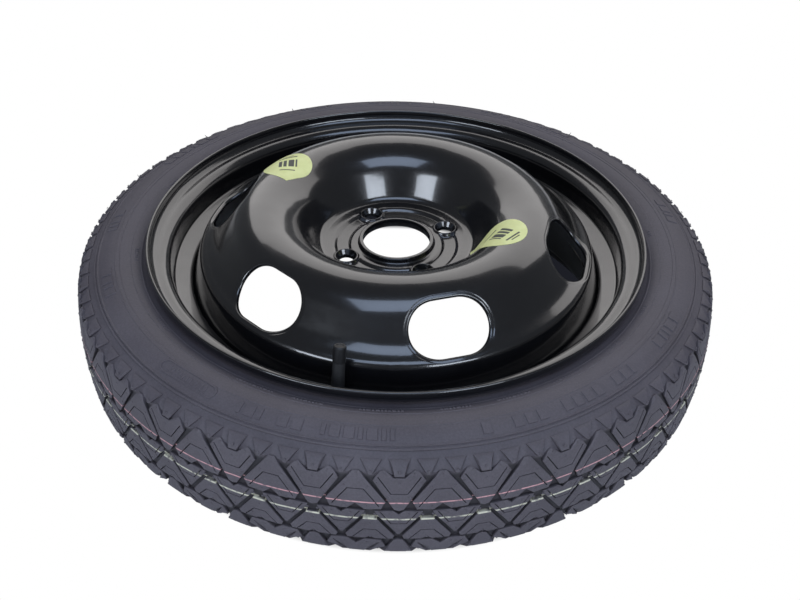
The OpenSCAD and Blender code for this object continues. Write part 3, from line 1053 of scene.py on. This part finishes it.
LARGE_BARS = marks(7.5, 16.5, [
    (256.5, (3, 8, 3)), (264, (8, 8)), (271.5, (3, 7.5, 7.5, 3, 7.5, 3, 3)), (298, (6.5,)),
    (303.5, (7, 7, 7)), (313, (7, 7, 7, 7)), (324.5, (7, 7, 3)), (338, (9, 3, 3, 9, 8)),
    (60, (8, 8, 3, 8)), (76, (8, 8, 8)), (98, (10, 10, 3, 10, 10)), (120, (3, 8, 8, 3)),
    (150, (10, 10, 4, 10, 10, 10)), (186, (8, 8, 3, 3)), (207, (8, 8, 3, 8)),
    (20, (8, 3, 8, 8))], 3.4, PRINT_R)
# Widths of short and long dashes
S, L = 1.3, 2.6
SMALL_BARS = marks(37, 39.6, [
    (226, (S, S, L, S, S, L, S)), (252, (S, L, S, S, S, L, S, S, L, S, S)),
    (264, (L, S, S, L, S, S, S, L)), (277, (S, S, L, S, L, S, S, S, L, S, S)),
    (292, (S, L, S, S, L, S, S, S)), (303, (L, S, S, S, L, S, S, L, S)),
    (315, (S, S, L, S, S, S, L, S, S, L)), (330, (S, L, S, S, L, S)), (345, (S, S, S, L, S)),
    (200, (S, S, L, S, S, L)), (170, (S, L, S, S, S, L)), (140, (S, S, L, S)),
    (100, (S, L, S, S)), (50, (S, S, L, S, S)), (15, (S, L, S))], 1.5, SMALL_R)
# Heights and bars
BARS = ((0.8, LARGE_BARS), (0.5, SMALL_BARS))
# Frame: distances from the tread's edge, angles, half width of its line, height; and its strokes
FRAME = (8.5, 19, 238.5, 251.5, 0.6, 0.7)
FRAME_STROKES = [(11.5, 16, 240.6 + i * 0.88, 1.5) for i in range(11)]
FRAME_STROKE_H = 0.55
# Hairs: distance from the tread's edge, angle, length, lean in degrees
HAIRS = [(-4, 171, 4.5, 0.5), (-3, 167, 3.0, -0.3), (-5, 150, 2.5, 0.4), (-5, 192, 2.5, -0.4),
         (-4, 205, 2.0, 0.3), (-5, 128, 2.2, 0.2), (-4, 62, 2.6, -0.4), (-5, 38, 3.0, 0.5),
         (-4, 22, 2.2, 0.3), (-5, 5, 2.4, -0.4), (-4, 350, 2.6, 0.4), (-5, 95, 2.4, 0.4)]


def make_tyre():
    corners, faces, nubs = tread_sector()
    shape = Shape()
    known = {}
    for k in range(SECTORS):
        xyz = on_tyre(corners[:, 0] + k * SECTOR, corners[:, 1], corners[:, 2])
        ids = shape.add(xyz)
        for i, (key, u) in enumerate(zip(np.round(xyz, 2).tolist(), corners[:, 0])):
            if u < 1e-3 or u > SECTOR - 1e-3:
                ids[i] = known.setdefault(tuple(key), ids[i])
        shape.faces += [tuple(ids[list(f)]) for f in faces]
    for k in range(SECTORS):
        for u, z in nubs:
            add_nub(shape, u + k * SECTOR, z)
    half = sidewall_curve()
    loop = np.concatenate([half, (half[:-1] * [1, -1])[::-1]])
    loop[:, 1] += MID
    lathe(loop, WALL_COLUMNS, shape, closed_profile=False)
    for height, bars in BARS:
        for bar in bars:
            raised_bar(shape, *bar, height)
    raised_frame(shape, *FRAME)
    for bar in FRAME_STROKES:
        raised_bar(shape, *bar, FRAME_STROKE_H)
    for hair in HAIRS:
        add_hair(shape, *hair)
    shape.make("tyre_cover", "wheel", "tyre_rubber", TYRE_RUBBER, 32, ["tyre"])


# Labels

# Rings of a label: share of the outline and height above the sheet
LABEL_RINGS = [(share, 0.26) for share in np.linspace(0.04, 0.985, 14)] + [(1.0, 0.22), (1.0, 0.05)]


def make_label(name, angle, rad, point, turn):
    """A paper drop that lies on the disc; its point is this far from the middle of its round."""
    touch = math.degrees(math.acos(LABEL_D / 2 / point))
    a = np.radians(np.arange(0, 360, 5))
    off = np.abs((np.degrees(a) + 180) % 360 - 180)
    tangent = LABEL_D / 2 / np.cos(np.radians(touch - off))
    reach = np.where(off < touch, tangent, LABEL_D / 2)
    centre = rad * np.array([cosd(angle), sind(angle)])
    c, s = cosd(angle + turn), sind(angle + turn)
    shape, rows, places = Shape(), [], []
    for share, lift in LABEL_RINGS:
        q = np.stack([share * reach * np.cos(a), share * reach * np.sin(a)], 1)
        xy = centre + q @ np.array([[c, s], [-s, c]])
        z = height_on(FRONT, np.hypot(*xy.T)) + lift
        places.append(q)
        rows.append(shape.add(np.concatenate([xy, z[:, None]], 1)))
    shape.grid(rows)
    shape.faces.append(tuple(rows[0]))
    obj = shape.make(name + "_paper", "wheel", "label_yellow", LABEL, 60, [name])
    flat = np.concatenate(places)
    uv = obj.data.uv_layers.new(name="paper")
    for loop in obj.data.loops:
        uv.data[loop.index].uv = tuple(flat[loop.vertex_index] * MM)


def metal(name, dark, light):
    material, tree, shader = node_material(name)
    coords = tree.coords()
    tint = tree.noise(900, 3, 0.6, coords)
    grain = tree.noise(1500, 2, 0.5, coords)
    scratch = tree.noise(2500, 2, 0.5, coords)
    tree.link(tree.ramp(tint, [(0.3, dark), (0.7, light)]), shader.inputs["Base Color"])
    shader.inputs["Metallic"].default_value = 1.0
    tree.link(tree.map_range(grain, 0, 1, 0.25, 0.4), shader.inputs["Roughness"])
    tree.link(tree.bump(scratch, 0.1, 0.0001), shader.inputs["Normal"])
    return material


# Dark bars on the labels: (middle x, middle y, half width, half height), from the middle of the
# round; x runs to the drop's point
PRINT = [(-1, -6.6, 6.2, 1.5), (-1, -2.3, 6.2, 1.5), (-1, 3.4, 6.2, 2.6), (-1, 8, 6.2, 0.8),
         (-13.5, 0, 0.9, 8.5), (-16.5, 0, 0.6, 5), (11, 0, 0.7, 7)]
# Share of a bar's lesser half that its corners are rounded by, and half the blur of its edge
PRINT_ROUND = 0.3
PRINT_BLUR = 0.15


def paper():
    material, tree, shader = node_material("label paper")
    coords = tree.coords()
    flat = tree.add("UVMap")
    flat.uv_map = "paper"
    split = tree.add("SeparateXYZ", Vector=flat.outputs[0])
    colour = tree.ramp(tree.noise(120, 3, 0.6, coords),
                       [(0.3, (0.80, 0.82, 0.34)), (0.7, (0.88, 0.9, 0.42))])
    for x, y, w, h in PRINT:
        rounded = PRINT_ROUND * min(w, h)
        squares = []
        for axis, middle, half in (("X", x, w), ("Y", y, h)):
            off = tree.math("ABSOLUTE", tree.math("SUBTRACT", split.outputs[axis], middle * MM))
            beyond = tree.math("SUBTRACT", off, (half - rounded) * MM)
            squares.append(tree.math("POWER", tree.math("MAXIMUM", beyond, 0.0), 2.0))
        away = tree.math("SQRT", tree.math("ADD", *squares))
        mask = tree.map_range(away, (rounded + PRINT_BLUR) * MM, (rounded - PRINT_BLUR) * MM)
        colour = tree.mix(mask, colour, (0.07, 0.075, 0.06))
    tree.link(colour, shader.inputs["Base Color"])
    shader.inputs["Roughness"].default_value = 0.55
    fibres = tree.noise(700, 3, 0.6, coords)
    tree.link(tree.bump(fibres, 0.1, 0.0001), shader.inputs["Normal"])
    return material


LABEL = paper()
BRASS = metal("brass", (0.45, 0.30, 0.11), (0.62, 0.44, 0.18))
STEEL = metal("steel", (0.4, 0.4, 0.42), (0.55, 0.55, 0.57))
CAP_PLASTIC = rubber("cap plastic", (0.008, 0.008, 0.009), (0.014, 0.014, 0.015), (0.35, 0.5))


# The pieces

make_rim()
make_disc()
make_tyre()
make_label("label_front", 161.6, CROWN_R + 4, 0.62 * LABEL_D, 124.4)
make_label("label_side", -11, CROWN_R - 18, 0.73 * LABEL_D, 159)

# CAD nodes that keep their own form
NODE_MATERIALS = {
    "weld_beads": PAINT, "valve_body": VALVE_RUBBER, "valve_stem": BRASS, "valve_core": BRASS,
    "core_pin": STEEL, "core_spring": STEEL, "core_washer": VALVE_RUBBER,
    "valve_cap": CAP_PLASTIC, "cap_seal": VALVE_RUBBER}
for node, material in NODE_MATERIALS.items():
    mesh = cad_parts[node].data
    mesh.materials.clear()
    mesh.materials.append(material)

# Floor, lamps and camera

FLOOR_SIZE = 30
FLOOR_GAP = 0.0002
# The floor is dark to the camera in a ring under the wheel: radii where it starts and ends
SHADE_FROM = (0.189, 0.197)
SHADE_TO = (0.262, 0.25)


def mix_for_camera(tree, others, camera, output):
    """One shader for what the camera sees and another for all other rays."""
    path = tree.add("LightPath")
    mix = tree.add("MixShader")
    for place, socket in enumerate((path.outputs["Is Camera Ray"], others, camera)):
        tree.link(socket, mix.inputs[place])
    tree.link(mix.outputs[0], tree.nodes[output].inputs["Surface"])


def add_floor():
    material, tree, shader = node_material("white floor")
    shader.inputs["Base Color"].default_value = (0.8, 0.8, 0.8, 1)
    shader.inputs["Roughness"].default_value = 0.9
    radius, _ = ring_coords(tree, tree.coords())
    in_shade = tree.math("MULTIPLY", tree.map_range(radius, *SHADE_FROM),
                         tree.map_range(radius, *SHADE_TO))
    glow = tree.add("Emission", Strength=1.0,
                    Color=tree.mix(in_shade, (1, 1, 1), (0.012, 0.013, 0.018)))
    mix_for_camera(tree, shader.outputs[0], glow.outputs[0], "Material Output")
    lowest = size_before[0][2]
    bpy.ops.mesh.primitive_plane_add(size=FLOOR_SIZE, location=(0, 0, lowest - FLOOR_GAP))
    floor = bpy.context.object
    floor.name = "floor"
    floor.data.materials.append(material)


def add_world():
    world = bpy.data.worlds.new("studio")
    bpy.context.scene.world = world
    tree = Tree(world)
    back = tree.nodes["Background"]
    back.inputs["Color"].default_value = (0.9, 0.94, 1.0, 1)
    back.inputs["Strength"].default_value = 0.14
    white = tree.add("Background", Color=(1, 1, 1), Strength=1.0)
    mix_for_camera(tree, back.outputs[0], white.outputs[0], "World Output")


# Lamps that face the wheel: name, place, size, power, colour
LAMPS = (
    ("back", (0, 1.8, 1.35), (4.2, 1.5), 30, (1, 0.97, 0.96)),
    ("top", (0.3, -0.85, 1.9), (1.7, 1.0), 16, (0.6, 0.74, 1.0)),
    ("left window", (-0.85, -1.75, 0.75), (0.9, 0.6), 14, (0.8, 0.88, 1.0)),
    ("right window", (1.35, -1.4, 0.8), (0.9, 0.6), 14, (0.8, 0.88, 1.0)),
)


def add_lamp(name, place, size, power, colour):
    data = bpy.data.lights.new(name, "AREA")
    data.shape = "RECTANGLE"
    data.size, data.size_y = size
    data.energy = power
    data.color = colour
    lamp = bpy.data.objects.new(name, data)
    lamp.location = place
    aim = Vector((0, 0, 0)) - Vector(place)
    lamp.rotation_euler = aim.to_track_quat("-Z", "Y").to_euler()
    bpy.context.scene.collection.objects.link(lamp)


# Camera fitted to the photo: place, angles round, up and in the picture, focal length in pixels
CAMERA_AT = (0.1928, -0.8164, 0.5827)
CAMERA_TURN = 13.0
CAMERA_LIFT = 37.426
CAMERA_ROLL = 1.134
FOCAL_PX = 1131.2
PICTURE_PX = 800
SENSOR = 36


def add_camera():
    back = np.array([cosd(CAMERA_LIFT) * sind(CAMERA_TURN),
                     -cosd(CAMERA_LIFT) * cosd(CAMERA_TURN), sind(CAMERA_LIFT)])
    right = np.array([cosd(CAMERA_TURN), sind(CAMERA_TURN), 0])
    up = np.cross(back, right)
    c, s = cosd(CAMERA_ROLL), sind(CAMERA_ROLL)
    right, up = c * right + s * up, -s * right + c * up
    data = bpy.data.cameras.new("camera")
    data.lens, data.sensor_width = SENSOR * FOCAL_PX / PICTURE_PX, SENSOR
    camera = bpy.data.objects.new("camera", data)
    rows = [(*row, at) for row, at in zip(zip(right, up, back), CAMERA_AT)]
    camera.matrix_world = Matrix(rows + [(0, 0, 0, 1)])
    bpy.context.scene.collection.objects.link(camera)
    bpy.context.scene.camera = camera


add_floor()
add_world()
for lamp in LAMPS:
    add_lamp(*lamp)
add_camera()
bpy.context.scene.view_settings.view_transform = "Standard"
